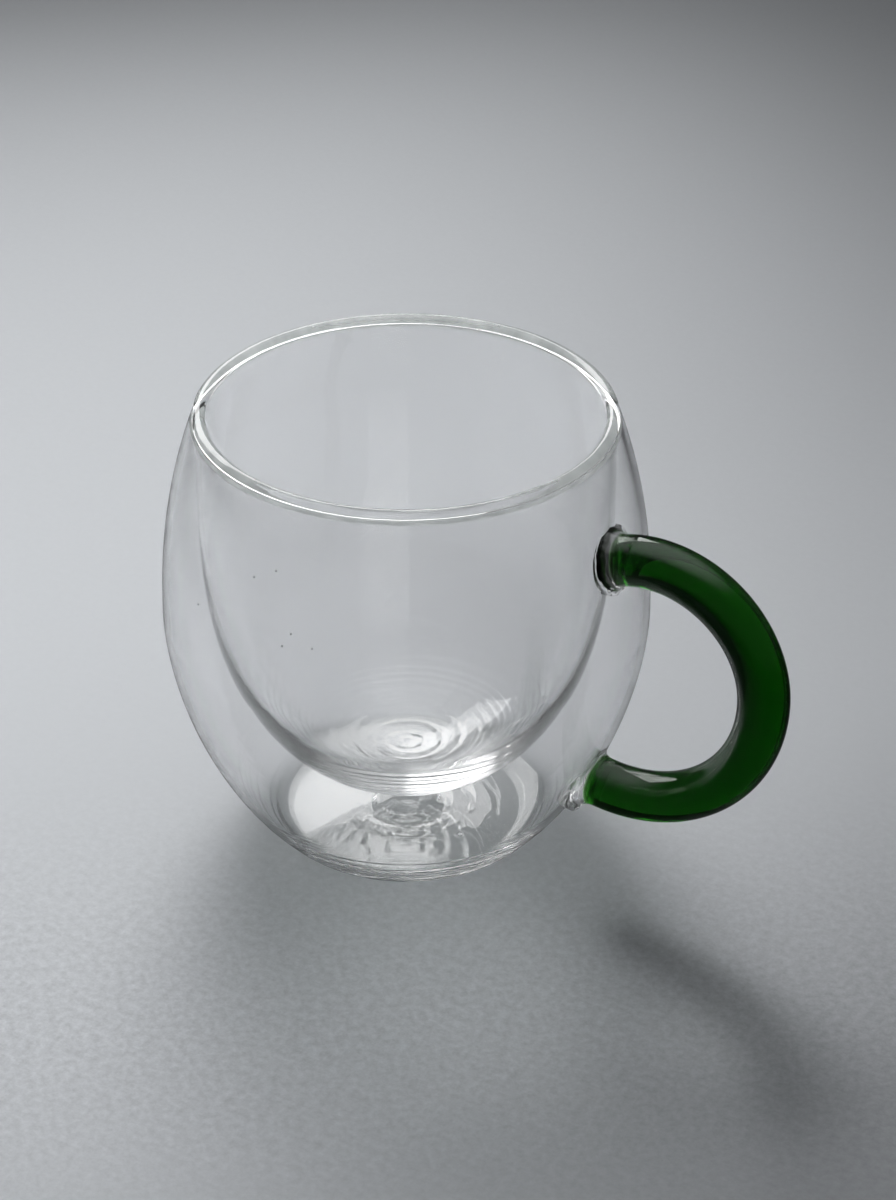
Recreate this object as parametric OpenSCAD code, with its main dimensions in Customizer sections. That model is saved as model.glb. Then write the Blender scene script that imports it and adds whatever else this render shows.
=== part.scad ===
// Double walled glass cup with a solid glass rod for a handle.
// Z is up. The cup stands on z = 0 with its axis on Z, and the handle points along +X.

/* [Rim] */
// Height of the cup, from the table to the top of the rim
height = 92; // [84:1:104]
// Outer diameter of the rounded rim
rim_d = 80.6; // [76:0.2:86]
// Thickness of the rounded rim
rim_t = 2.7; // [2.4:0.1:3.4]
// Depth of the fused rim, from its top down to the two walls
rim_depth = 2.2; // [1.8:0.1:3.4]

/* [Outer wall] */
// Largest outer diameter of the cup
belly_d = 94.6; // [90:0.2:104]
// Height of the largest outer diameter
belly_z = 49; // [42:1:56]
// Fullness of the curve from the belly down to the base
lower_power = 1.7; // [1.5:0.05:2]
// Fullness of the curve from the belly up to the rim
upper_power = 2.2; // [1.8:0.05:2.6]
// Thickness of the outer wall
outer_wall_t = 1.2; // [1:0.1:1.6]

/* [Base] */
// Outer diameter of the base where it meets the table
base_d = 50.4; // [44:0.2:58]
// Thickness of the base
base_t = 2.6; // [2:0.1:3.4]
// Height of the seam where the base is fused to the outer wall
base_seam_z = 7; // [6:0.1:9]
// Radius of the rounded edge round the base
base_edge_r = 6; // [2:0.5:8]
// Radius of the rounded corner inside, between the base and the wall
base_corner_r = 6; // [2:0.5:8]
// Diameter of the vent hole in the middle of the base
vent_d = 5; // [3:0.5:7]
// Diameter of the recess round the vent hole
vent_recess_d = 12; // [9:0.5:16]
// Depth of the recess round the vent hole
vent_recess_h = 1.2; // [0.8:0.1:1.6]
// Distance from the table up to the edge of the sealing drop
seal_lift = 0.5; // [0.3:0.1:0.7]
// Height of the sealing drop above the inside of the base
seal_tip_h = 0.9; // [0.4:0.1:1.5]
// Diameter to which the sealing drop spread on the inside of the base
seal_tip_d = 11.6; // [8:0.2:14]

/* [Inner bowl] */
// Gap between the two walls at the widest place of the inner bowl
air_gap = 3.6; // [2:0.1:6]
// Gap between the two walls where they run into the rim
rim_gap = 0.4; // [0.2:0.05:0.8]
// Distance from the top of the rim down to the widest place of the inner bowl
bowl_drop = 16; // [10:0.5:24]
// Height of the underside of the inner bowl
bowl_bottom_z = 11; // [7:0.5:16]
// Fullness of the curve from the widest place down to the floor
bowl_power = 2.85; // [2.4:0.05:3.3]
// Thickness of the inner wall
bowl_wall_t = 1.1; // [0.9:0.1:1.5]
// Thickness of the floor in the middle of the inner bowl
bowl_floor_t = 3.2; // [2:0.1:5]

/* [Handle] */
// Diameter of the glass rod
rod_d = 9.8; // [8:0.1:12]
// Gap for the fingers, from the largest outer radius of the cup to the rod
finger_gap = 25.1; // [21:0.1:32]
// Distance from the top of the rim down to the middle of the rod at its highest place
handle_drop = 17.6; // [14:0.2:24]
// Height of the middle of the rod at its lowest place
handle_low_z = 22.4; // [18:0.1:30]
// Radius of the upper bend, at the middle of the rod
upper_bend_r = 22.8; // [19:0.2:26]

/* [Handle welds] */
// Length of the upper weld, from the wall to the rod
upper_weld_l = 3.2; // [2.4:0.1:5]
// Diameter of the upper weld on the wall
upper_weld_d = 13.5; // [12.5:0.5:17]
// Length of the lower weld, from the wall to the rod
lower_weld_l = 3.6; // [3:0.1:5]
// Diameter of the lower weld on the wall
lower_weld_d = 16.5; // [12.5:0.5:18]
// Drawn gap at a fused seam that lies on a curved face
fuse_gap = 0.05; // [0.02:0.01:0.1]

/* [Hidden] */
$fn = 96;

clear_glass = [0.86, 0.90, 0.90, 0.45];
seam_glass = [0.80, 0.86, 0.86, 0.60];
green_glass = [0.05, 0.38, 0.09];

// Steps along a wall's curve and along a short rounding
curve_steps = 20;
edge_steps = 8;

base_r = base_d / 2;
belly_r = belly_d / 2;
rim_z = height - rim_t / 2;
rim_mid_r = rim_d / 2 - rim_t / 2;
rim_seam_z = height - rim_depth;

// Outside of the outer wall: radius at a height, and how fast it widens there
function outer_r(z) = z < belly_z
    ? sqrt(belly_r ^ 2 - (belly_r ^ 2 - base_r ^ 2) * ((belly_z - z) / belly_z) ^ lower_power)
    : belly_r - (belly_r - rim_d / 2) * ((z - belly_z) / (rim_z - belly_z)) ^ upper_power;
slope_step = 0.01;
function outer_slope(z) = (outer_r(z + slope_step) - outer_r(z - slope_step)) / (2 * slope_step);

// Inside of the outer wall, measured so that the wall keeps its thickness where it leans
function outer_inside_r(z) = outer_r(z) - outer_wall_t * sqrt(1 + outer_slope(z) ^ 2);

// Outside of the inner bowl above its widest place, where the gap between the walls closes to the rim
bowl_z = height - bowl_drop;
function bowl_top_r(z) =
    outer_inside_r(z) - air_gap + (air_gap - rim_gap) * (z - bowl_z) / (rim_seam_z - bowl_z);

// Either face of the inner bowl: how far it lies inside the outside, and height of its lowest point
function bowl_side_r(z, widest_r, low_z) =
    widest_r * sqrt(1 - ((bowl_z - z) / (bowl_z - low_z)) ^ bowl_power);
function bowl_face(inset, low_z) = [
    for (i = [0:curve_steps])
        let (z = bowl_z - (bowl_z - low_z) * cos(90 * i / curve_steps))
        [bowl_side_r(z, bowl_top_r(bowl_z) - inset, low_z), z],
    for (i = [1:edge_steps])
        let (z = bowl_z + (rim_seam_z - bowl_z) * i / edge_steps)
        [bowl_top_r(z) - inset, z]
];

function reversed(points) = [for (i = [len(points) - 1:-1:0]) points[i]];
function heights(low, high, steps) = [for (i = [0:steps]) low + (high - low) * i / steps];

// Height at which a rounding that starts level runs into the wall; each pass settles it further
settle_passes = 5;
function wall_rise(z) = 90 - atan(outer_slope(z));
function round_top(low, radius, passes) = passes == 0
    ? low
    : low + radius * (1 - cos(wall_rise(round_top(low, radius, passes - 1))));

// Roundings of the base, outside and inside: each turns from a level face to the rise of the wall
base_edge_top = round_top(0, base_edge_r, settle_passes);
base_edge_turn = wall_rise(base_edge_top);
base_edge_x = outer_r(base_edge_top) - base_edge_r * sin(base_edge_turn);
base_corner_top = round_top(base_t, base_corner_r, settle_passes);
base_corner_turn = wall_rise(base_corner_top);
base_corner_x = outer_inside_r(base_corner_top) - base_corner_r * sin(base_corner_turn);

// Handle: two bends that meet upright at the outermost place of the rod
handle_top_z = height - handle_drop;
rod_out_x = belly_r + finger_gap + rod_d / 2;
upper_bend_x = rod_out_x - upper_bend_r;
lower_bend_r = handle_top_z - handle_low_z - upper_bend_r;
lower_bend_x = rod_out_x - lower_bend_r;
bend_z = handle_top_z - upper_bend_r;

// Angle past level at which a bend ends, a weld's length from the wall; each pass settles it further
function end_turn(bend_x, bend_r, rise, weld_l, passes) =
    let (
        turn = passes == 0 ? 0 : end_turn(bend_x, bend_r, rise, weld_l, passes - 1),
        wall_x = outer_r(bend_z + rise * bend_r * cos(turn))
    )
    asin((bend_x - wall_x - weld_l) / bend_r);
upper_turn = end_turn(upper_bend_x, upper_bend_r, 1, upper_weld_l, settle_passes);
upper_rod_x = upper_bend_x - upper_bend_r * sin(upper_turn);
upper_rod_z = bend_z + upper_bend_r * cos(upper_turn);
lower_turn = end_turn(lower_bend_x, lower_bend_r, -1, lower_weld_l, settle_passes);
lower_rod_x = lower_bend_x - lower_bend_r * sin(lower_turn);
lower_rod_z = bend_z - lower_bend_r * cos(lower_turn);

module outer_wall() {
    levels = concat(
        heights(base_seam_z, belly_z, curve_steps),
        [for (z = heights(belly_z, rim_seam_z, curve_steps)) if (z > belly_z) z]
    );
    color(clear_glass)
        rotate_extrude()
            polygon(concat(
                [for (z = levels) [outer_r(z), z]],
                [for (z = reversed(levels)) [outer_inside_r(z), z]]
            ));
}

// Rounding that starts level at a point and turns upwards
function rounding(start_x, start_z, radius, turn) = [
    for (t = heights(0, turn, edge_steps)) [start_x + radius * sin(t), start_z + radius * (1 - cos(t))]
];

module outer_base() {
    edge = rounding(base_edge_x, 0, base_edge_r, base_edge_turn);
    corner = rounding(base_corner_x, base_t, base_corner_r, base_corner_turn);
    outside = heights(base_edge_top, base_seam_z, edge_steps);
    inside = heights(base_seam_z, base_corner_top, edge_steps);
    color(clear_glass)
        difference() {
            rotate_extrude()
                polygon(concat(
                    [[0, 0]],
                    edge,
                    [for (z = outside) if (z > base_edge_top) [outer_r(z), z]],
                    [for (z = inside) if (z > base_corner_top) [outer_inside_r(z), z]],
                    reversed(corner),
                    [[0, base_t]]
                ));
            translate([0, 0, -1])
                cylinder(d = vent_d, h = base_t + 2);
            translate([0, 0, -1])
                cylinder(d = vent_recess_d, h = vent_recess_h + 1);
        }
}

// Drop of glass that closes the vent: a pool in the recess, and a tip that ran up through the hole and spread
module vent_seal() {
    stem_r = vent_d / 2 - fuse_gap;
    pool_r = vent_recess_d / 2 - fuse_gap;
    pool_sag = seal_lift / 2;
    tip = [
        for (i = [0:edge_steps])
            let (spread = 1 - i / edge_steps)
            [seal_tip_d / 2 * spread, base_t + seal_tip_h * (1 - spread ^ 4)]
    ];
    pool = [
        for (i = [0:edge_steps])
            [pool_r * i / edge_steps, seal_lift - pool_sag * (1 - (i / edge_steps) ^ 2)]
    ];
    color(seam_glass)
        rotate_extrude()
            polygon(concat(
                pool,
                [[pool_r, vent_recess_h], [stem_r, vent_recess_h], [stem_r, base_t]],
                tip
            ));
}

module inner_bowl() {
    color(clear_glass)
        rotate_extrude()
            polygon(concat(
                bowl_face(0, bowl_bottom_z),
                reversed(bowl_face(bowl_wall_t, bowl_bottom_z + bowl_floor_t))
            ));
}

// Rounded ring in which the tops of both walls are melted together
module rim_bead() {
    lean = atan(-outer_slope(rim_seam_z));
    seam_in_r = bowl_top_r(rim_seam_z) - bowl_wall_t;
    round_steps = 2 * edge_steps;
    top = [
        for (i = [0:round_steps])
            let (turn = 180 - (180 - lean) * i / round_steps)
            [rim_mid_r + rim_t / 2 * cos(turn), rim_z + rim_t / 2 * sin(turn)]
    ];
    color(seam_glass)
        rotate_extrude()
            polygon(concat([[seam_in_r, rim_seam_z]], top, [[outer_r(rim_seam_z), rim_seam_z]]));
}

// Bend of the rod, from its outermost place round to its upper or its lower end
module rod_bend(bend_x, bend_r, turn) {
    translate([bend_x, 0, bend_z])
        rotate([90, 0, 0])
            rotate_extrude(angle = turn)
                translate([bend_r, 0])
                    circle(d = rod_d);
}

module handle() {
    color(green_glass)
        union() {
            rod_bend(upper_bend_x, upper_bend_r, 90 + upper_turn);
            rod_bend(lower_bend_x, lower_bend_r, -90 - lower_turn);
        }
}

// Flared foot of clear glass, with its small end at the origin and its wide end up along +Z
module flared_foot(wide_d, length, root) {
    flare = (wide_d - rod_d) / 2;
    rotate_extrude()
        polygon(concat(
            [[0, 0]],
            [
                for (i = [0:edge_steps])
                    let (turn = 90 * i / edge_steps)
                    [rod_d / 2 + flare * (1 - cos(turn)), length * sin(turn)]
            ],
            [[wide_d / 2, length + root], [0, length + root]]
        ));
}

// Solid inside the outer face of the cup, between two heights, with the seam's gap added
module cup_outside(low, high) {
    levels = heights(max(low, base_seam_z), min(high, rim_seam_z), curve_steps);
    rotate_extrude()
        polygon(concat(
            [[0, levels[0]]],
            [for (z = levels) [outer_r(z) + fuse_gap, z]],
            [[0, levels[curve_steps]]]
        ));
}

module upper_handle_weld() {
    color(seam_glass)
        difference() {
            translate([upper_rod_x, 0, upper_rod_z])
                rotate([0, -90 - upper_turn, 0])
                    flared_foot(upper_weld_d, upper_weld_l, upper_weld_d / 2);
            cup_outside(upper_rod_z - upper_weld_d, upper_rod_z + upper_weld_d);
        }
}

module lower_handle_weld() {
    color(seam_glass)
        difference() {
            translate([lower_rod_x, 0, lower_rod_z])
                rotate([0, lower_turn - 90, 0])
                    flared_foot(lower_weld_d, lower_weld_l, lower_weld_d / 2);
            cup_outside(lower_rod_z - lower_weld_d, lower_rod_z + lower_weld_d);
        }
}

outer_wall();
outer_base();
vent_seal();
inner_bowl();
rim_bead();
handle();
upper_handle_weld();
lower_handle_weld();
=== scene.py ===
import math

import bpy
from mathutils import Matrix, Vector


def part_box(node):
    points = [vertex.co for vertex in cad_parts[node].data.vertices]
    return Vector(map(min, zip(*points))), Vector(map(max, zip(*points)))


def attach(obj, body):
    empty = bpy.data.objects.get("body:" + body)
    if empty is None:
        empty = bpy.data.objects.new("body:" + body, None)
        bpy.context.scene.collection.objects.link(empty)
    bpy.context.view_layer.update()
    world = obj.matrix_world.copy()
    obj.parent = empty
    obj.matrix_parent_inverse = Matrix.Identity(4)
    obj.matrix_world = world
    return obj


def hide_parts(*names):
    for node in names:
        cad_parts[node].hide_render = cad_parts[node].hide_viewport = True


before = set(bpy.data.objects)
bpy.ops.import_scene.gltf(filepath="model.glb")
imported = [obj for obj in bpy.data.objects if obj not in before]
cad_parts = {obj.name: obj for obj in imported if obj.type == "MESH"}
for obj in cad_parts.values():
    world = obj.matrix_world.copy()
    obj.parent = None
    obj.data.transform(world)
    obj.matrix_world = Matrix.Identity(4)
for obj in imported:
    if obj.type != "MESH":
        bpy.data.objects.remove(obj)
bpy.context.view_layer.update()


# Outer wall
# The blown outer bowl of clear borosilicate glass, bellied, from the base seam up to the rim.
# Both of its edges are melted to the next piece, so the rings there close it but don't show.
wall_low, wall_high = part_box("outer_wall")
base_seam_z = wall_low.z
rim_seam_z = wall_high.z
belly_r = wall_high.y
belly_z = 0.049
foot_r = 0.0252
lower_power = 1.7
upper_power = 2.2
wall_t = 0.0012
rim_t = 0.0027
rim_r = 0.0403
rim_top_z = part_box("rim_bead")[1].z
rim_z = rim_top_z - rim_t / 2
marks_full_z = 0.003
marks_top_z = 0.016
crease = math.radians(35)
join_reach = 0.000002
full_turn = 2 * math.pi


def wall_r(z):
    """Radius of the outside of the cup at a height."""
    if z < belly_z:
        drop = ((belly_z - z) / belly_z) ** lower_power
        return math.sqrt(belly_r ** 2 - (belly_r ** 2 - foot_r ** 2) * drop)
    return belly_r - (belly_r - rim_r) * ((z - belly_z) / (rim_z - belly_z)) ** upper_power


def wall_slope(z):
    """How fast the outside widens at a height."""
    step = 0.00001
    return (wall_r(z + step) - wall_r(z - step)) / (2 * step)


def wall_inside_r(z):
    """Radius of the inside of the outer wall, whose thickness is measured across the wall."""
    return wall_r(z) - wall_t * math.sqrt(1 + wall_slope(z) ** 2)


def turning_marks(z):
    """How far the marks of turning the hot glass stand out from the lower wall; they die out upwards."""
    fade = max(0, 1 - z / marks_top_z) * min(1, z / marks_full_z)
    broad = 0.00005 * math.cos(full_turn * z / 0.0027)
    fine = 0.00003 * math.cos(full_turn * z / 0.0016 + 1)
    return fade * (broad + fine)


def spread(low, high, count):
    """Evenly spaced values from low to high, both included."""
    return [low + (high - low) * i / count for i in range(count + 1)]


def turn_glass(name, section, steps=192):
    """Draws one side of a section point by point, as (radius, height), and spins it round the cup's axis."""
    bpy.ops.object.select_all(action="DESELECT")
    bpy.ops.mesh.primitive_plane_add(size=0.001, location=(0, 0, 0))
    piece = bpy.context.object
    piece.name = name
    bpy.ops.object.mode_set(mode="EDIT")
    bpy.ops.mesh.merge(type="CENTER")
    bpy.ops.transform.translate(value=(section[0][0], 0, section[0][1]))
    for here, there in zip(section, section[1:]):
        step = (there[0] - here[0], 0, there[1] - here[1])
        bpy.ops.mesh.extrude_region_move(TRANSFORM_OT_translate={"value": step})
    bpy.ops.mesh.select_all(action="SELECT")
    bpy.ops.mesh.spin(steps=steps, angle=full_turn, center=(0, 0, 0), axis=(0, 0, 1))
    bpy.ops.mesh.select_all(action="SELECT")
    bpy.ops.mesh.remove_doubles(threshold=join_reach)
    bpy.ops.mesh.normals_make_consistent(inside=False)
    bpy.ops.object.mode_set(mode="OBJECT")
    bpy.ops.object.shade_smooth_by_angle(angle=crease)
    return piece


def leave_seed(piece, centre, radius):
    """Leaves a small round bubble, called a seed, in the glass of a piece."""
    bpy.ops.object.select_all(action="DESELECT")
    bpy.ops.mesh.primitive_uv_sphere_add(segments=16, ring_count=8, radius=radius, location=centre)
    bpy.ops.object.transform_apply(location=True, rotation=True, scale=True)
    bpy.ops.object.mode_set(mode="EDIT")
    bpy.ops.mesh.select_all(action="SELECT")
    bpy.ops.mesh.flip_normals()
    bpy.ops.object.mode_set(mode="OBJECT")
    bpy.ops.object.shade_smooth()
    piece.select_set(True)
    bpy.context.view_layer.objects.active = piece
    bpy.ops.object.join()


def polished_glass(name, wave_scale, wave_detail, wave_depth):
    """Fire polished glass, with the slow waves that the flame leaves in its skin."""
    material = bpy.data.materials.new(name)
    material.use_nodes = True
    nodes, links = material.node_tree.nodes, material.node_tree.links
    shader = nodes["Principled BSDF"]
    shader.inputs["Base Color"].default_value = (1, 1, 1, 1)
    shader.inputs["Roughness"].default_value = 0
    shader.inputs["Transmission Weight"].default_value = 1
    place = nodes.new("ShaderNodeTexCoord")
    waves = nodes.new("ShaderNodeTexNoise")
    waves.inputs["Scale"].default_value = wave_scale
    waves.inputs["Detail"].default_value = wave_detail
    bump = nodes.new("ShaderNodeBump")
    bump.inputs["Strength"].default_value = 1
    bump.inputs["Distance"].default_value = wave_depth
    links.new(place.outputs["Object"], waves.inputs["Vector"])
    links.new(waves.outputs["Fac"], bump.inputs["Height"])
    links.new(bump.outputs["Normal"], shader.inputs["Normal"])
    return material


def let_lamps_through(material):
    """Lets the light for shadows and for matt faces straight through the glass; returns the node that tints it."""
    nodes, links = material.node_tree.nodes, material.node_tree.links
    lamp_ray = nodes.new("ShaderNodeLightPath")
    pass_lamp = nodes.new("ShaderNodeBsdfTransparent")
    soft = nodes.new("ShaderNodeMixShader")
    links.new(lamp_ray.outputs["Is Diffuse Ray"], soft.inputs["Fac"])
    links.new(nodes["Principled BSDF"].outputs["BSDF"], soft.inputs[1])
    links.new(pass_lamp.outputs["BSDF"], soft.inputs[2])
    either = nodes.new("ShaderNodeMixShader")
    links.new(lamp_ray.outputs["Is Shadow Ray"], either.inputs["Fac"])
    links.new(soft.outputs["Shader"], either.inputs[1])
    links.new(pass_lamp.outputs["BSDF"], either.inputs[2])
    links.new(either.outputs["Shader"], nodes["Material Output"].inputs["Surface"])
    return pass_lamp


def clear_glass():
    """Colourless borosilicate glass, whose shadow is darker where the light grazes it."""
    material = polished_glass("clear_blown_glass", wave_scale=55, wave_detail=2, wave_depth=0.00005)
    nodes, links = material.node_tree.nodes, material.node_tree.links
    nodes["Principled BSDF"].inputs["IOR"].default_value = glass_ior
    grazing = nodes.new("ShaderNodeLayerWeight")
    grazing.inputs["Blend"].default_value = 0.5
    shade = nodes.new("ShaderNodeValToRGB")
    shade.color_ramp.elements[0].position = 0.3
    shade.color_ramp.elements[0].color = (0.918, 0.922, 0.92, 1)
    shade.color_ramp.elements[1].position = 1
    shade.color_ramp.elements[1].color = (0.62, 0.63, 0.625, 1)
    links.new(grazing.outputs["Facing"], shade.inputs["Fac"])
    links.new(shade.outputs["Color"], let_lamps_through(material).inputs["Color"])
    return material


def melted_seam():
    """The place where two pieces of glass are melted into one: no face is left there to reflect."""
    material = bpy.data.materials.new("melted_seam")
    material.use_nodes = True
    nodes, links = material.node_tree.nodes, material.node_tree.links
    nodes.remove(nodes["Principled BSDF"])
    through = nodes.new("ShaderNodeBsdfTransparent")
    links.new(through.outputs["BSDF"], nodes["Material Output"].inputs["Surface"])
    return material


def melt_flat(piece, z):
    """Gives the flat ring at a height to the melted seam."""
    for face in piece.data.polygons:
        if abs(face.center.z - z) < 0.00001 and abs(face.normal.z) > 0.9:
            face.material_index = 1


glass_ior = 1.474
glass = clear_glass()
seam = melted_seam()
wall_levels = spread(base_seam_z, marks_top_z, 45) + spread(marks_top_z, rim_seam_z, 90)[1:]
wall_section = [(wall_r(z) + turning_marks(z), z) for z in wall_levels]
wall_section += [(wall_inside_r(z), z) for z in reversed(wall_levels)]
wall_section.append(wall_section[0])
wall = turn_glass("blown_outer_wall", wall_section)
wall_seed_r = 0.0002
wall_seeds = [
    (-90.6, 0.0782), (-96.6, 0.0756), (-85.3, 0.0672),
    (-79.9, 0.0653), (-87.4, 0.0643), (-114.7, 0.0642),
]
for turn, z in wall_seeds:
    mid_r = (wall_r(z) + wall_inside_r(z)) / 2
    seed_x, seed_y = mid_r * math.cos(math.radians(turn)), mid_r * math.sin(math.radians(turn))
    leave_seed(wall, (seed_x, seed_y, z), wall_seed_r)
wall.data.materials.append(glass)
wall.data.materials.append(seam)
melt_flat(wall, base_seam_z)
melt_flat(wall, rim_seam_z)
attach(wall, "root")
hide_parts("outer_wall")


# Inner bowl
# The blown drinking bowl, with a thick floor where the glass gathered and rings left by turning it.
# Its lip is melted into the rim, and nothing else touches the outer wall.
bowl_bottom_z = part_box("inner_bowl")[0].z
bowl_drop = 0.016
bowl_z = rim_top_z - bowl_drop
bowl_power = 2.85
bowl_wall_t = 0.0011
bowl_floor_t = 0.0032
air_gap = 0.0036
rim_gap = 0.0004
ring_reach = 0.019
shoulder_r = 0.0245
shoulder_reach = 0.0115
shoulder_beat = 0.0071


def bowl_top_r(z):
    """Radius of the outside of the bowl above its widest place, where the gap between the walls closes."""
    closing = (z - bowl_z) / (rim_seam_z - bowl_z)
    return wall_inside_r(z) - air_gap + (air_gap - rim_gap) * closing


def floor_rings(r, depth, pitch):
    """Height of the turning rings in a glass floor, which die out towards its edge."""
    fade = max(0, 1 - (r / ring_reach) ** 4)
    return depth * fade * (0.5 + 0.5 * math.cos(full_turn * r / pitch)) ** 3


def shoulder_marks(r, depth, pitch):
    """Height of the fine turning marks round the edge of the floor, where it turns up into the wall."""
    fade = max(0, 1 - ((r - shoulder_r) / shoulder_reach) ** 2)
    uneven = 1.5 * math.sin(full_turn * r / shoulder_beat)
    return depth * fade * math.cos(full_turn * r / pitch + uneven)


def bowl_face(inset, low_z, turns, ring_depth, ring_pitch, mark_depth, mark_pitch):
    """One face of the bowl, from the middle of its floor up to the rim seam."""
    widest = bowl_top_r(bowl_z) - inset
    points = []
    for turn in turns:
        z = bowl_z - (bowl_z - low_z) * math.cos(math.radians(turn))
        r = widest * math.sqrt(max(0, 1 - ((bowl_z - z) / (bowl_z - low_z)) ** bowl_power))
        z += floor_rings(r, ring_depth, ring_pitch) + shoulder_marks(r, mark_depth, mark_pitch)
        points.append((r, z))
    points += [(bowl_top_r(z) - inset, z) for z in spread(bowl_z, rim_seam_z, 24)[1:]]
    return points


def set_unevenly(piece, name, grain, strength, mid_level, finer=0):
    """Displaces a vertex group of a piece by soft clouds, with finer ones on them, as glass that set unevenly."""
    clouds = bpy.data.textures.new(name, type="CLOUDS")
    clouds.noise_scale = grain
    clouds.noise_depth = finer
    wave = piece.modifiers.new(name, "DISPLACE")
    wave.texture = clouds
    wave.texture_coords = "LOCAL"
    wave.strength = strength
    wave.mid_level = mid_level
    wave.vertex_group = name
    bpy.context.view_layer.objects.active = piece
    bpy.ops.object.modifier_apply(modifier=name)


def ripple(piece, reach_r, low_z, top_z, strength, grain, name):
    """Makes the glass near the axis uneven, between two heights."""
    group = piece.vertex_groups.new(name=name)
    for corner in piece.data.vertices:
        r = corner.co.to_2d().length
        if r < reach_r and low_z < corner.co.z < top_z:
            group.add([corner.index], 1 - (r / reach_r) ** 3, "REPLACE")
    set_unevenly(piece, name, grain, strength, mid_level=0.5)


out_turns = spread(0, 50, 200) + spread(50, 90, 30)[1:]
in_turns = spread(0, 40, 110) + spread(40, 90, 40)[1:]
bowl_section = bowl_face(
    0, bowl_bottom_z, out_turns,
    ring_depth=0.000025, ring_pitch=0.0023, mark_depth=0.00004, mark_pitch=0.0016,
)
bowl_section += reversed(bowl_face(
    bowl_wall_t, bowl_bottom_z + bowl_floor_t, in_turns,
    ring_depth=0.00014, ring_pitch=0.0037, mark_depth=0, mark_pitch=0.0016,
))
bowl = turn_glass("blown_inner_bowl", bowl_section)
bowl.data.materials.append(glass)
bowl.data.materials.append(seam)
melt_flat(bowl, rim_seam_z)
ripple(
    bowl, reach_r=0.027, low_z=0, top_z=bowl_bottom_z + 0.012,
    strength=0.0002, grain=0.011, name="uneven_floor",
)
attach(bowl, "root")
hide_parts("inner_bowl")


# Rim
# The rounded lip in which the tops of both walls are melted together, then fire polished.
# Between the two seams below it, a fine slot is the top of the closed air space.
def cloudy_seam():
    """The melted joint under the lip, full of fine cords and seeds that scatter the light led down the wall."""
    material = bpy.data.materials.new("cloudy_seam")
    material.use_nodes = True
    nodes, links = material.node_tree.nodes, material.node_tree.links
    shader = nodes["Principled BSDF"]
    shader.inputs["Roughness"].default_value = 1
    shader.inputs["Specular IOR Level"].default_value = 0
    place = nodes.new("ShaderNodeTexCoord")
    cords = nodes.new("ShaderNodeTexNoise")
    cords.inputs["Scale"].default_value = 250
    tint = nodes.new("ShaderNodeValToRGB")
    tint.color_ramp.elements[0].position = 0.35
    tint.color_ramp.elements[0].color = (0.53, 0.56, 0.56, 1)
    tint.color_ramp.elements[1].position = 0.65
    tint.color_ramp.elements[1].color = (0.68, 0.71, 0.71, 1)
    links.new(place.outputs["Object"], cords.inputs["Vector"])
    links.new(cords.outputs["Fac"], tint.inputs["Fac"])
    links.new(tint.outputs["Color"], shader.inputs["Base Color"])
    return material


bead_r = rim_t / 2
bead_mid_r = rim_r - bead_r
rim_lean = math.atan(-wall_slope(rim_seam_z))
rim_section = [(bowl_top_r(rim_seam_z) - bowl_wall_t, rim_seam_z)]
for turn in spread(math.pi, rim_lean, 40):
    rim_section.append((bead_mid_r + bead_r * math.cos(turn), rim_z + bead_r * math.sin(turn)))
rim_section += [(wall_r(z), z) for z in spread(rim_z - 0.0002, rim_seam_z, 5)]
rim_section.append((wall_inside_r(rim_seam_z), rim_seam_z))
slot_mid_r = (wall_inside_r(rim_seam_z) + bowl_top_r(rim_seam_z)) / 2
for turn in spread(0, math.pi, 16):
    slot_r = slot_mid_r + rim_gap / 2 * math.cos(turn)
    rim_section.append((slot_r, rim_seam_z + rim_gap * math.sin(turn)))
rim_section.append(rim_section[0])
rim = turn_glass("melted_rim", rim_section)
rim.data.materials.append(glass)
rim.data.materials.append(cloudy_seam())
melt_flat(rim, rim_seam_z)
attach(rim, "root")
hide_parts("rim_bead")


# Base
# The disc of glass that closes the outer bowl from below, melted on round its edge.
# Its face is uneven, and a recess and a hole in its middle let the hot air out before sealing.
base_t = 0.0026
base_edge_r = 0.006
base_corner_r = 0.006
vent_r = 0.0025
recess_r = 0.006
recess_h = 0.0012
recess_lip = 0.0012
seal_lift = 0.0005
base_ring_depth = 0.00006
base_ring_pitch = 0.0047
settle_passes = 6


def wall_rise(z):
    """Angle above level at which the wall rises at a height."""
    return math.pi / 2 - math.atan(wall_slope(z))


def round_top(low, radius):
    """Height at which a rounding that starts level runs into the wall; each pass settles it further."""
    top = low
    for settle in range(settle_passes):
        top = low + radius * (1 - math.cos(wall_rise(top)))
    return top


def rounding(start_r, start_z, radius, turn):
    """Rounding that starts level and turns upwards, as points."""
    steps = spread(0, turn, 24)
    return [(start_r + radius * math.sin(t), start_z + radius * (1 - math.cos(t))) for t in steps]


edge_top = round_top(0, base_edge_r)
edge_x = wall_r(edge_top) - base_edge_r * math.sin(wall_rise(edge_top))
edge = rounding(edge_x, 0, base_edge_r, wall_rise(edge_top))
corner_top = round_top(base_t, base_corner_r)
corner_x = wall_inside_r(corner_top) - base_corner_r * math.sin(wall_rise(corner_top))
base_section = [(vent_r, recess_h), (recess_r, recess_h)]
for sink in spread(0, math.pi, 16):
    lip_r = recess_r + recess_lip * (1 - math.cos(sink)) / 2
    base_section.append((lip_r, seal_lift * (1 + math.cos(sink)) / 2))
base_section += [(r, 0) for r in spread(recess_r + recess_lip, edge_x, 50)[1:-1]]
base_section += [(r + turning_marks(z), z) for r, z in edge]
base_section += [(wall_r(z) + turning_marks(z), z) for z in spread(edge_top, base_seam_z, 40)[1:]]
base_section += [(wall_inside_r(z), z) for z in spread(base_seam_z, corner_top, 12)[:-1]]
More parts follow.
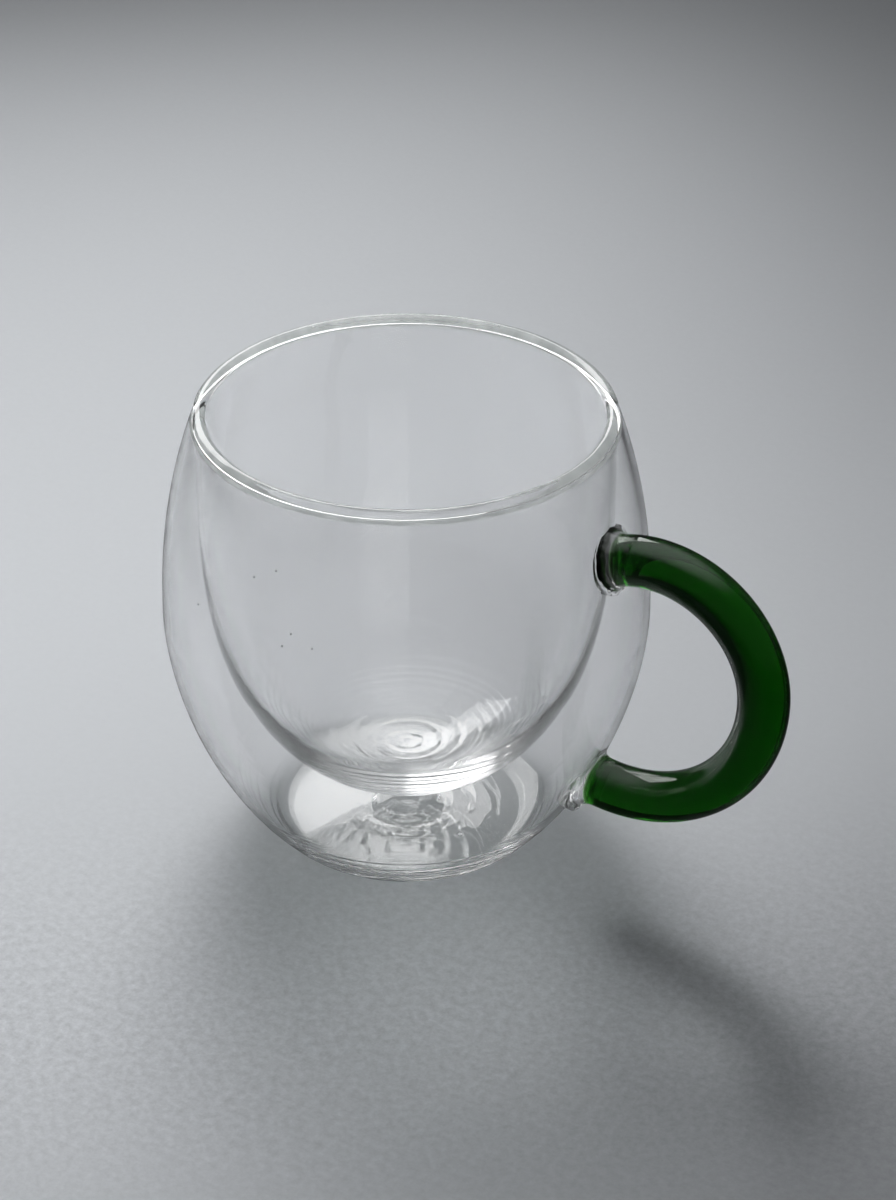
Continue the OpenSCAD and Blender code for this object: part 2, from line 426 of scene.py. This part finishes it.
base_section += reversed(rounding(corner_x, base_t, base_corner_r, wall_rise(corner_top)))
for r in spread(corner_x, vent_r, 120)[1:]:
    base_section.append((r, base_t + floor_rings(r, base_ring_depth, base_ring_pitch)))
base_section.append(base_section[0])
base = turn_glass("fused_base", base_section)
leave_seed(base, (0.015, -0.0043, base_t / 2), 0.0005)
base.data.materials.append(glass)
base.data.materials.append(seam)
melt_flat(base, base_seam_z)
melt_flat(base, recess_h)
for face in base.data.polygons:
    face_r = face.center.to_2d().length
    in_hole = face_r < vent_r + 0.00005 and abs(face.normal.z) < 0.5
    in_recess = abs(face_r - recess_r) < 0.00002 and face.center.z > seal_lift
    if in_hole or in_recess:
        face.material_index = 1
ripple(
    base, reach_r=corner_x, low_z=base_t - 0.0005, top_z=base_t + 0.0012,
    strength=0.0004, grain=0.012, name="uneven_base",
)
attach(base, "root")
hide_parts("outer_base")


# Vent seal
# The drop of glass that closed the vent: a pool in the recess and a tip that ran up through the hole.
# It is melted to the base round its side.
seal_tip_h = 0.0007
seal_tip_r = 0.0062
seal_flat = 0.4
seal_section = [(recess_r * share, seal_lift / 2 * (1 + share ** 2)) for share in spread(0, 1, 16)]
seal_section += [(recess_r, recess_h), (vent_r, recess_h), (vent_r, base_t)]
seal_section += [(r, base_t) for r in spread(vent_r, seal_tip_r, 6)[1:-1]]
for r in spread(seal_tip_r, 0, 40):
    fall = max(0, (r / seal_tip_r - seal_flat) / (1 - seal_flat))
    seal_section.append((r, base_t + seal_tip_h * (1 - fall ** 2 * (3 - 2 * fall))))
seal = turn_glass("vent_drop", seal_section, steps=96)
seal.data.materials.append(glass)
seal.data.materials.append(seam)
for face in seal.data.polygons:
    on_side = abs(face.normal.z) < 0.1 and face.center.z < base_t
    on_shelf = abs(face.center.z - recess_h) < 0.00001
    on_base = abs(face.center.z - base_t) < 0.00001 and face.normal.z < -0.9
    if on_side or on_shelf or on_base:
        face.material_index = 1
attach(seal, "root")
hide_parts("vent_seal")


# Handle
# A solid rod of deep green glass, see-through, bent to a C in the flame.
# Both ends are melted as low domes into the clear feet that hold it on the cup.
handle_low, handle_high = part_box("handle")
rod_r = handle_high.y
rod_out_x = handle_high.x - rod_r
handle_top_z = handle_high.z - rod_r
handle_low_z = handle_low.z + rod_r
upper_bend_r = 0.0228
upper_weld_l = 0.0032
lower_weld_l = 0.0036
end_dome = 0.75
end_reach = 0.007
upper_bend_x = rod_out_x - upper_bend_r
lower_bend_r = handle_top_z - handle_low_z - upper_bend_r
lower_bend_x = rod_out_x - lower_bend_r
bend_z = handle_top_z - upper_bend_r
quarter = math.pi / 2


def end_turn(bend_x, bend_r, rise, weld_l):
    """Angle past level at which a bend of the rod ends, a weld's length from the wall."""
    turn = 0
    for settle in range(settle_passes):
        wall_x = wall_r(bend_z + rise * bend_r * math.cos(turn))
        turn = math.asin((bend_x - wall_x - weld_l) / bend_r)
    return turn


upper_turn = end_turn(upper_bend_x, upper_bend_r, 1, upper_weld_l)
upper_rod_x = upper_bend_x - upper_bend_r * math.sin(upper_turn)
upper_rod_z = bend_z + upper_bend_r * math.cos(upper_turn)
lower_turn = end_turn(lower_bend_x, lower_bend_r, -1, lower_weld_l)
lower_rod_x = lower_bend_x - lower_bend_r * math.sin(lower_turn)
lower_rod_z = bend_z - lower_bend_r * math.cos(lower_turn)


def green_glass():
    """Deep green glass, coloured in the mass, which doesn't bend light where it is melted into a foot."""
    material = polished_glass("green_rod_glass", wave_scale=120, wave_detail=1, wave_depth=0.00008)
    nodes, links = material.node_tree.nodes, material.node_tree.links
    melted = nodes.new("ShaderNodeAttribute")
    melted.attribute_name = "melted_end"
    bend = nodes.new("ShaderNodeMapRange")
    bend.inputs["To Min"].default_value = glass_ior
    bend.inputs["To Max"].default_value = 1
    links.new(melted.outputs["Fac"], bend.inputs["Value"])
    links.new(bend.outputs["Result"], nodes["Principled BSDF"].inputs["IOR"])
    let_lamps_through(material).inputs["Color"].default_value = (0.14, 0.28, 0.17, 1)
    dye = nodes.new("ShaderNodeVolumeAbsorption")
    dye.inputs["Color"].default_value = (0.18, 0.6, 0.02, 1)
    dye.inputs["Density"].default_value = 730
    links.new(dye.outputs["Volume"], nodes["Material Output"].inputs["Volume"])
    return material


bpy.ops.object.select_all(action="DESELECT")
bpy.ops.mesh.primitive_circle_add(
    vertices=64, radius=rod_r, location=(0, 0, 0), rotation=(0, quarter, 0)
)
rod = bpy.context.object
rod.name = "bent_green_rod"
bpy.ops.object.transform_apply(location=True, rotation=True, scale=True)
bpy.ops.object.mode_set(mode="EDIT")
bpy.ops.mesh.select_all(action="SELECT")
bpy.ops.transform.translate(value=(upper_bend_x, 0, handle_top_z))
bpy.ops.transform.rotate(
    value=upper_turn, orient_axis="Y", center_override=(upper_bend_x, 0, bend_z)
)
bpy.ops.mesh.edge_face_add()
bpy.ops.mesh.spin(
    steps=56, angle=quarter + upper_turn, center=(upper_bend_x, 0, bend_z), axis=(0, -1, 0)
)
bpy.ops.mesh.spin(
    steps=72, angle=quarter + lower_turn, center=(lower_bend_x, 0, bend_z), axis=(0, -1, 0)
)
bpy.ops.mesh.select_all(action="SELECT")
bpy.ops.mesh.remove_doubles(threshold=join_reach)
bpy.ops.mesh.normals_make_consistent(inside=False)
upper_out = Vector((-math.cos(upper_turn), 0, -math.sin(upper_turn)))
lower_out = Vector((-math.cos(lower_turn), 0, math.sin(lower_turn)))
rod_ends = [
    (Vector((upper_rod_x, 0, upper_rod_z)), upper_out, upper_weld_l * end_dome),
    (Vector((lower_rod_x, 0, lower_rod_z)), lower_out, lower_weld_l * end_dome),
]
dome_steps = [0, 0.2, 0.4, 0.6, 0.75, 0.86, 0.93, 0.97, 0.99]
bpy.ops.mesh.select_mode(type="FACE")
for end, out, dome in rod_ends:
    bpy.ops.mesh.select_all(action="DESELECT")
    bpy.ops.object.mode_set(mode="OBJECT")
    for face in rod.data.polygons:
        face.select = len(face.vertices) > 4 and (face.center - end).length < 0.0001
    bpy.ops.object.mode_set(mode="EDIT")
    for here, there in zip(dome_steps, dome_steps[1:]):
        step = out * dome * (there - here)
        narrowing = ((1 - there ** 3) / (1 - here ** 3)) ** (1 / 3)
        bpy.ops.mesh.extrude_region_move(TRANSFORM_OT_translate={"value": step})
        bpy.ops.transform.resize(value=(narrowing, narrowing, narrowing))
bpy.ops.mesh.select_mode(type="VERT")
bpy.ops.object.mode_set(mode="OBJECT")
bpy.ops.object.shade_smooth_by_angle(angle=crease)
melted_end = rod.data.attributes.new("melted_end", "FLOAT", "FACE")
for face in rod.data.polygons:
    for end, out, dome in rod_ends:
        from_end = face.center - end
        if from_end.length < end_reach and from_end.dot(out) > 0.000001:
            melted_end.data[face.index].value = 1
rod.data.materials.append(green_glass())
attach(rod, "root")
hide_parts("handle")


# Handle welds
# Two flared feet of clear glass, drawn out of the hot joint between the wall and the ends of the rod.
# Each is sunk a little into the wall, as glass that has run together.
upper_weld_d = 0.0135
lower_weld_d = 0.0152
wall_sink = 0.0004


def flared_foot(name, wide_d, length, end_x, end_z, tilt):
    """Turns a foot on the rod's end, wide end towards the cup, and cuts it to the wall."""
    flare = wide_d / 2 - rod_r
    section = [(r, 0) for r in spread(0, rod_r, 6)[:-1]]
    for turn in spread(0, quarter, 20):
        section.append((rod_r + flare * (1 - math.cos(turn)), length * math.sin(turn)))
    root_z = length + wide_d / 2
    section += [(wide_d / 2, z) for z in spread(length, root_z, 6)[1:]]
    section.append((0, root_z))
    foot = turn_glass(name, section, steps=96)
    skin = foot.vertex_groups.new(name="drawn_skin")
    for corner in foot.data.vertices:
        if corner.co.to_2d().length > rod_r:
            skin.add([corner.index], min(1, corner.co.z / length), "REPLACE")
    set_unevenly(foot, "drawn_skin", grain=0.0022, strength=0.0006, mid_level=0.6, finer=1)
    place = Matrix.Translation((end_x, 0, end_z)) @ Matrix.Rotation(tilt, 4, "Y")
    foot.data.transform(place)
    levels = spread(end_z - wide_d, min(end_z + wide_d, rim_seam_z), 60)
    core_section = [(wall_r(z) - wall_sink, z) for z in levels]
    core = turn_glass("cup_core", [(0, levels[0])] + core_section + [(0, levels[-1])])
    cut = foot.modifiers.new("cut_to_wall", "BOOLEAN")
    cut.operation = "DIFFERENCE"
    cut.solver = "EXACT"
    cut.object = core
    bpy.context.view_layer.objects.active = foot
    bpy.ops.object.modifier_apply(modifier="cut_to_wall")
    bpy.data.objects.remove(core)
    bpy.ops.object.select_all(action="DESELECT")
    foot.select_set(True)
    bpy.ops.object.shade_smooth_by_angle(angle=crease)
    foot.data.materials.append(glass)
    foot.data.materials.append(seam)
    axis = place.to_3x3() @ Vector((0, 0, 1))
    for face in foot.data.polygons:
        at_rod = abs((face.center - Vector((end_x, 0, end_z))).dot(axis)) < 0.00002
        if at_rod and abs(face.normal.dot(axis)) > 0.9:
            face.material_index = 1
    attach(foot, "root")
    return foot


upper_foot = flared_foot(
    "upper_clear_foot", upper_weld_d, upper_weld_l, upper_rod_x, upper_rod_z, -quarter - upper_turn
)
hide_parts("upper_handle_weld")
lower_foot = flared_foot(
    "lower_clear_foot", lower_weld_d, lower_weld_l, lower_rod_x, lower_rod_z, lower_turn - quarter
)
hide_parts("lower_handle_weld")


# Floor
# A matt, pale grey sheet with a fine grain, just under the cup, with painted shade that darkens it to the front
# right.
# The grain shows most in a band across the front; the sheet as the glass shows it has painted light near the cup
# and painted dark beyond.
view_azimuth = math.radians(32)
away = Vector((-math.sin(view_azimuth), math.cos(view_azimuth), 0))
right = Vector((math.cos(view_azimuth), math.sin(view_azimuth), 0))
up = Vector((0, 0, 1))
floor_size = 6
floor_drop = 0.00005
bpy.ops.object.select_all(action="DESELECT")
bpy.ops.mesh.primitive_plane_add(size=floor_size, location=(0, 0, -floor_drop))
floor = bpy.context.object
floor.name = "floor"
paper = bpy.data.materials.new("matt_grey_sheet")
paper.use_nodes = True
nodes, links = paper.node_tree.nodes, paper.node_tree.links
shader = nodes["Principled BSDF"]
shader.inputs["Roughness"].default_value = 0.85
shader.inputs["Specular IOR Level"].default_value = 0.2
place = nodes.new("ShaderNodeTexCoord")

# Grain of the sheet
grain = nodes.new("ShaderNodeTexNoise")
grain.inputs["Scale"].default_value = 550
grain.inputs["Detail"].default_value = 3
grain.inputs["Roughness"].default_value = 0.75
speckle = nodes.new("ShaderNodeValToRGB")
speckle.color_ramp.elements[0].position = 0.25
speckle.color_ramp.elements[0].color = (0.475, 0.492, 0.512, 1)
speckle.color_ramp.elements[1].position = 0.75
speckle.color_ramp.elements[1].color = (0.689, 0.712, 0.742, 1)
to_front = nodes.new("ShaderNodeVectorMath")
to_front.operation = "DOT_PRODUCT"
to_front.inputs[1].default_value = away
off_band = nodes.new("ShaderNodeMath")
off_band.operation = "ADD"
off_band.inputs[1].default_value = 0.068
off_size = nodes.new("ShaderNodeMath")
off_size.operation = "ABSOLUTE"
coarse = nodes.new("ShaderNodeMapRange")
coarse.interpolation_type = "SMOOTHSTEP"
coarse.inputs["From Min"].default_value = 0
coarse.inputs["From Max"].default_value = 0.09
coarse.inputs["To Min"].default_value = 1
coarse.inputs["To Max"].default_value = 0.08
tone = nodes.new("ShaderNodeMix")
tone.data_type = "RGBA"
tone.inputs["A"].default_value = (0.582, 0.602, 0.627, 1)
links.new(place.outputs["Object"], grain.inputs["Vector"])
links.new(grain.outputs["Fac"], speckle.inputs["Fac"])
links.new(place.outputs["Object"], to_front.inputs[0])
links.new(to_front.outputs["Value"], off_band.inputs[0])
links.new(off_band.outputs["Value"], off_size.inputs[0])
links.new(off_size.outputs["Value"], coarse.inputs["Value"])
links.new(coarse.outputs["Result"], tone.inputs["Factor"])
links.new(speckle.outputs["Color"], tone.inputs["B"])

# Painted shade: darker corner to the front right, where the pool of light falls off
to_corner = nodes.new("ShaderNodeVectorMath")
to_corner.operation = "DOT_PRODUCT"
to_corner.inputs[1].default_value = (0.9744, -0.2250, 0)
painted_corner_shade = nodes.new("ShaderNodeMapRange")
painted_corner_shade.interpolation_type = "SMOOTHSTEP"
painted_corner_shade.inputs["From Min"].default_value = 0.03
painted_corner_shade.inputs["From Max"].default_value = 0.16
painted_corner_shade.inputs["To Min"].default_value = 1
painted_corner_shade.inputs["To Max"].default_value = 0.56
painted_shade_tone = nodes.new("ShaderNodeVectorMath")
painted_shade_tone.operation = "SCALE"
links.new(place.outputs["Object"], to_corner.inputs[0])
links.new(to_corner.outputs["Value"], painted_corner_shade.inputs["Value"])
links.new(tone.outputs["Result"], painted_shade_tone.inputs[0])
links.new(painted_corner_shade.outputs["Result"], painted_shade_tone.inputs["Scale"])

# Painted light and shade on the sheet, only as the glass shows it: brighter near the cup and dark beyond, and
# darker still where the glass mirrors it
from_frame = nodes.new("ShaderNodeMapping")
from_frame.vector_type = "TEXTURE"
from_frame.inputs["Location"].default_value = (-0.110, 0.120, 0)
from_frame.inputs["Rotation"].default_value = (0, 0, view_azimuth)
from_frame.inputs["Scale"].default_value = (0.12, 0.33, 1)
reach = nodes.new("ShaderNodeVectorMath")
reach.operation = "LENGTH"
# Painted light and shade for rays through the glass: a little brighter than the sheet near the cup, nearly black
# beyond
painted_glass_light = nodes.new("ShaderNodeMapRange")
painted_glass_light.inputs["From Min"].default_value = 0.95
painted_glass_light.inputs["From Max"].default_value = 1.45
painted_glass_light.inputs["To Min"].default_value = 1.06
painted_glass_light.inputs["To Max"].default_value = 0.12
painted_glass_tone = nodes.new("ShaderNodeVectorMath")
painted_glass_tone.operation = "SCALE"
# Painted shade: the sheet as the glass mirrors it is darkened much further
painted_mirror_shade = nodes.new("ShaderNodeVectorMath")
painted_mirror_shade.operation = "SCALE"
painted_mirror_shade.inputs["Scale"].default_value = 0.15
through_glass = nodes.new("ShaderNodeLightPath")
mirrored = nodes.new("ShaderNodeMix")
mirrored.data_type = "RGBA"
seen = nodes.new("ShaderNodeMix")
seen.data_type = "RGBA"
links.new(place.outputs["Object"], from_frame.inputs["Vector"])
links.new(from_frame.outputs["Vector"], reach.inputs[0])
links.new(reach.outputs["Value"], painted_glass_light.inputs["Value"])
links.new(painted_shade_tone.outputs["Vector"], painted_glass_tone.inputs[0])
links.new(painted_glass_light.outputs["Result"], painted_glass_tone.inputs["Scale"])
links.new(painted_glass_tone.outputs["Vector"], painted_mirror_shade.inputs[0])
links.new(through_glass.outputs["Is Glossy Ray"], mirrored.inputs["Factor"])
links.new(painted_shade_tone.outputs["Vector"], mirrored.inputs["A"])
links.new(painted_mirror_shade.outputs["Vector"], mirrored.inputs["B"])
links.new(through_glass.outputs["Is Transmission Ray"], seen.inputs["Factor"])
links.new(mirrored.outputs["Result"], seen.inputs["A"])
links.new(painted_glass_tone.outputs["Vector"], seen.inputs["B"])
links.new(seen.outputs["Result"], shader.inputs["Base Color"])
floor.data.materials.append(paper)


# Light
# Soft studio light from behind and a little to the left: a gridded softbox for the pool on the sheet,
# a window that only the glass shows, and a soft glow overhead that fades into dim grey surroundings.
cup_middle = Vector((0, 0, 0.03))


def softbox(name, leftward, elevation, distance, width, height, radiance, aim, beam=180):
    """A rectangular lamp seen from the cup at an angle left of straight behind, with its brightness and beam."""
    turn, rise = math.radians(leftward), math.radians(elevation)
    level_toward = away * math.cos(turn) - right * math.sin(turn)
    lamp = bpy.data.lights.new(name, "AREA")
    lamp.shape = "RECTANGLE"
    lamp.size = width
    lamp.size_y = height
    lamp.energy = radiance * math.pi * width * height
    lamp.spread = math.radians(beam)
    box = bpy.data.objects.new(name, lamp)
    bpy.context.scene.collection.objects.link(box)
    box.location = cup_middle + (level_toward * math.cos(rise) + up * math.sin(rise)) * distance
    box.rotation_mode = "QUATERNION"
    box.rotation_quaternion = (aim - box.location).to_track_quat("-Z", "Y")
    box.visible_camera = False
    return box


pool = away * 0.0599 - right * 0.1235
key = softbox(
    "gridded_key", leftward=18, elevation=40, distance=0.7,
    width=0.5, height=0.44, radiance=1.2, aim=pool, beam=45.77,
)
key.visible_glossy = False
key.visible_transmission = False
window = softbox(
    "softbox_window", leftward=23, elevation=32, distance=1.0,
    width=0.8, height=0.47, radiance=5.0, aim=cup_middle,
)
window.visible_diffuse = False
world = bpy.data.worlds.new("studio")
bpy.context.scene.world = world
world.use_nodes = True
nodes, links = world.node_tree.nodes, world.node_tree.links
sky_place = nodes.new("ShaderNodeTexCoord")
toward_light = nodes.new("ShaderNodeVectorMath")
toward_light.operation = "DOT_PRODUCT"
toward_light.inputs[1].default_value = (away * 0.3 - right * 0.12 + up * 0.95).normalized()
glow = nodes.new("ShaderNodeMapRange")
glow.interpolation_type = "SMOOTHSTEP"
glow.inputs["From Min"].default_value = 0.6
glow.inputs["From Max"].default_value = 1
glow.inputs["To Min"].default_value = 0.05
glow.inputs["To Max"].default_value = 1.4
soft_ray = nodes.new("ShaderNodeLightPath")
plain = nodes.new("ShaderNodeMix")
plain.inputs["B"].default_value = 0.03
links.new(sky_place.outputs["Generated"], toward_light.inputs[0])
links.new(toward_light.outputs["Value"], glow.inputs["Value"])
links.new(glow.outputs["Result"], plain.inputs["A"])
links.new(soft_ray.outputs["Is Diffuse Ray"], plain.inputs["Factor"])
links.new(plain.outputs["Result"], nodes["Background"].inputs["Strength"])
nodes["Background"].inputs["Color"].default_value = (0.97, 0.985, 1.0, 1)


# Camera
# A long lens above and in front of the cup, with the handle to the right and towards it.
# Light may pass many glass faces, and what the glass bundles on the sheet is left off.
pitch = math.radians(31.42)
yaw = math.radians(0.71)
roll = math.radians(-0.19)
distance = 0.6481
aim = Vector((0, 0, 0.04948))
forward = away * math.cos(pitch) - up * math.sin(pitch)
lift = away * math.sin(pitch) + up * math.cos(pitch)
look = forward * math.cos(yaw) + right * math.sin(yaw)
across = right * math.cos(yaw) - forward * math.sin(yaw)
level = across * math.cos(roll) + lift * math.sin(roll)
upright = lift * math.cos(roll) - across * math.sin(roll)
lens = bpy.data.cameras.new("camera")
lens.lens = 100
lens.sensor_width = 36
camera = bpy.data.objects.new("camera", lens)
bpy.context.scene.collection.objects.link(camera)
turned = Matrix((level, upright, -look)).transposed().to_4x4()
camera.matrix_world = Matrix.Translation(aim - forward * distance) @ turned
bpy.context.scene.camera = camera
bpy.context.scene.view_settings.view_transform = "Standard"
bpy.context.scene.cycles.max_bounces = 96
bpy.context.scene.cycles.glossy_bounces = 64
bpy.context.scene.cycles.transmission_bounces = 64
bpy.context.scene.cycles.transparent_max_bounces = 64
bpy.context.scene.cycles.caustics_reflective = False
bpy.context.scene.cycles.caustics_refractive = False
